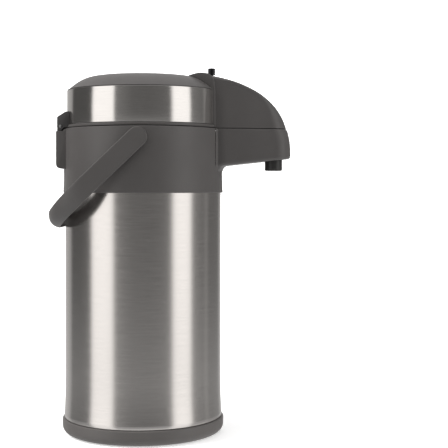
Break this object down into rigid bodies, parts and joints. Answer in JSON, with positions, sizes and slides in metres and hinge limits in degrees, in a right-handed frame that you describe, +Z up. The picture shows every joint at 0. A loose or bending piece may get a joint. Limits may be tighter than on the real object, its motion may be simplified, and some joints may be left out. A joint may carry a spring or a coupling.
{
  "type": "thermal coffee airpot",
  "caption": "Thermal pump airpot: a steel vacuum bottle with a press-plate pump in a hinged lid, a side spout and a swinging carrying handle.",
  "frame": {"origin": "on the bottle's axis, at the underside of the anti-slip pad, on the surface that the airpot stands on", "axes": "+Z up along the bottle's axis, +X towards the spout, the lid's hinge at -X, the handle's pivots along Y"},
  "size_m": [0.2361, 0.1696, 0.361],
  "materials": {
    "grey_plastic": "warm dark grey, satin moulded",
    "dark_plastic": "near black, satin moulded",
    "inner_plastic": "dark grey, moulded",
    "brushed_steel": "brushed round the axis",
    "inner_steel": "satin",
    "silicone": "matte silicone",
    "rubber": "matte rubber",
    "glossy_black": "polished"
  },
  "bodies": {
    "bottle": {"base_pad": "rubber", "base_cup": "grey_plastic", "outer_shell": "brushed_steel", "shell_bottom": "inner_steel", "shell_shoulder": "inner_steel", "inner_liner": "inner_steel", "mouth_ring": "inner_plastic", "mouth_seal": "silicone", "collar": "grey_plastic", "stopper": "inner_plastic", "stopper_seal": "silicone", "siphon_tube": "inner_steel", "discharge_pipe": "inner_plastic", "elbow_seal": "silicone", "nozzle": "dark_plastic", "nozzle_seal": "silicone", "hinge_pin": "inner_steel"},
    "lid": {"lid_shell": "grey_plastic", "lid_band": "brushed_steel", "lid_base": "inner_plastic", "lid_screw_1": "inner_steel", "lid_screw_2": "inner_steel", "lid_screw_3": "inner_steel", "lid_screw_4": "inner_steel", "valve_flap": "silicone", "duct_gasket": "silicone", "lid_catch": "inner_plastic", "bellows": "silicone", "bellows_ring": "inner_plastic", "return_spring": "inner_steel"},
    "press_plate": {"push_plate": "grey_plastic", "push_post": "inner_plastic", "vent_seal": "silicone", "bellows_cap": "inner_plastic"},
    "lock": {"lock_slider": "inner_plastic", "lock_knob": "glossy_black"},
    "handle": {"handle_bail": "grey_plastic", "handle_clip_near": "inner_steel", "handle_clip_far": "inner_steel"}
  },
  "joints": [
    {"name": "lid_hinge", "type": "hinge", "parent": "bottle", "child": "lid", "pos_m": [-0.079, 0, 0.3023], "axis": [0, -1, 0], "range_deg": [0, 95]},
    {"name": "press_plate_slide", "type": "slide", "parent": "lid", "child": "press_plate", "axis": [0, 0, -1], "range_m": [0, 0.02], "stiffness_N_per_m": 400, "springref_m": -0.01, "deforming": ["bellows", "return_spring"]},
    {"name": "lock_slide", "type": "slide", "parent": "lid", "child": "lock", "axis": [0, 1, 0], "range_m": [0, 0.01]},
    {"name": "handle_swing", "type": "hinge", "parent": "bottle", "child": "handle", "pos_m": [0, 0, 0.2896], "axis": [0, 1, 0], "range_deg": [0, 188]}
  ]
}
